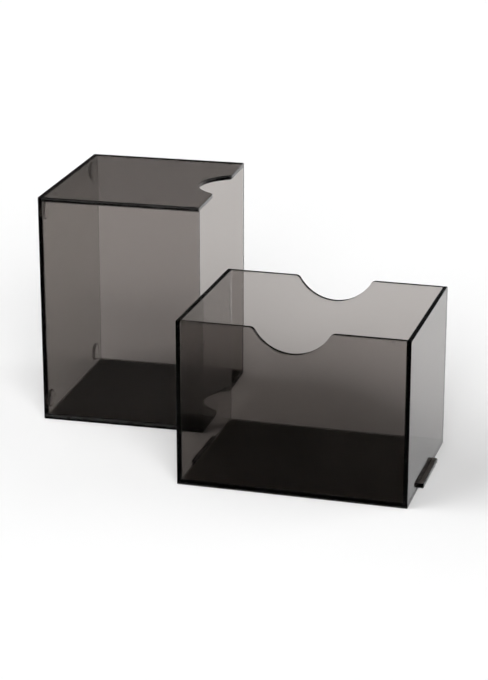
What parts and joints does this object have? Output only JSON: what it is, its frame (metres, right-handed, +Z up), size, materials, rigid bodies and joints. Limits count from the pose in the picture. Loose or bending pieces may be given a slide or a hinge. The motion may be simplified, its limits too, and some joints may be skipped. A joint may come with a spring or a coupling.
{
  "type": "card storage box",
  "caption": "Two-piece card box in smoked clear acrylic: an open tray with finger notches, and a deep slip-over shell that lies beside it, lifted off.",
  "frame": {"origin": "middle of the tray's underside, on the surface that both pieces stand on", "axes": "+Z up out of the tray's mouth, +X along the tray's width to its right wall, -Y out of the tray's front wall; the shell lies behind on the left with its mouth towards +X"},
  "size_m": [0.1828, 0.1405, 0.102],
  "materials": {
    "smoked_acrylic": "polished, see-through, warm grey tint",
    "clear_bumper": "smooth, clear, slightly cloudy"
  },
  "bodies": {
    "tray": {"tray_base_plate": "smoked_acrylic", "tray_front_wall": "smoked_acrylic", "tray_back_wall": "smoked_acrylic", "tray_left_wall": "smoked_acrylic", "tray_right_wall": "smoked_acrylic"},
    "shell": {"shell_closed_panel": "smoked_acrylic", "shell_upper_notched_wall": "smoked_acrylic", "shell_lower_notched_wall": "smoked_acrylic", "shell_front_plain_wall": "smoked_acrylic", "shell_back_plain_wall": "smoked_acrylic", "bumper_upper_front": "clear_bumper", "bumper_upper_back": "clear_bumper", "bumper_lower_front": "clear_bumper", "bumper_lower_back": "clear_bumper"}
  },
  "joints": [
    {"name": "shell_lift", "type": "slide", "parent": "tray", "child": "shell", "axis": [0, 0, 1], "range_m": [0, 0.09]}
  ]
}
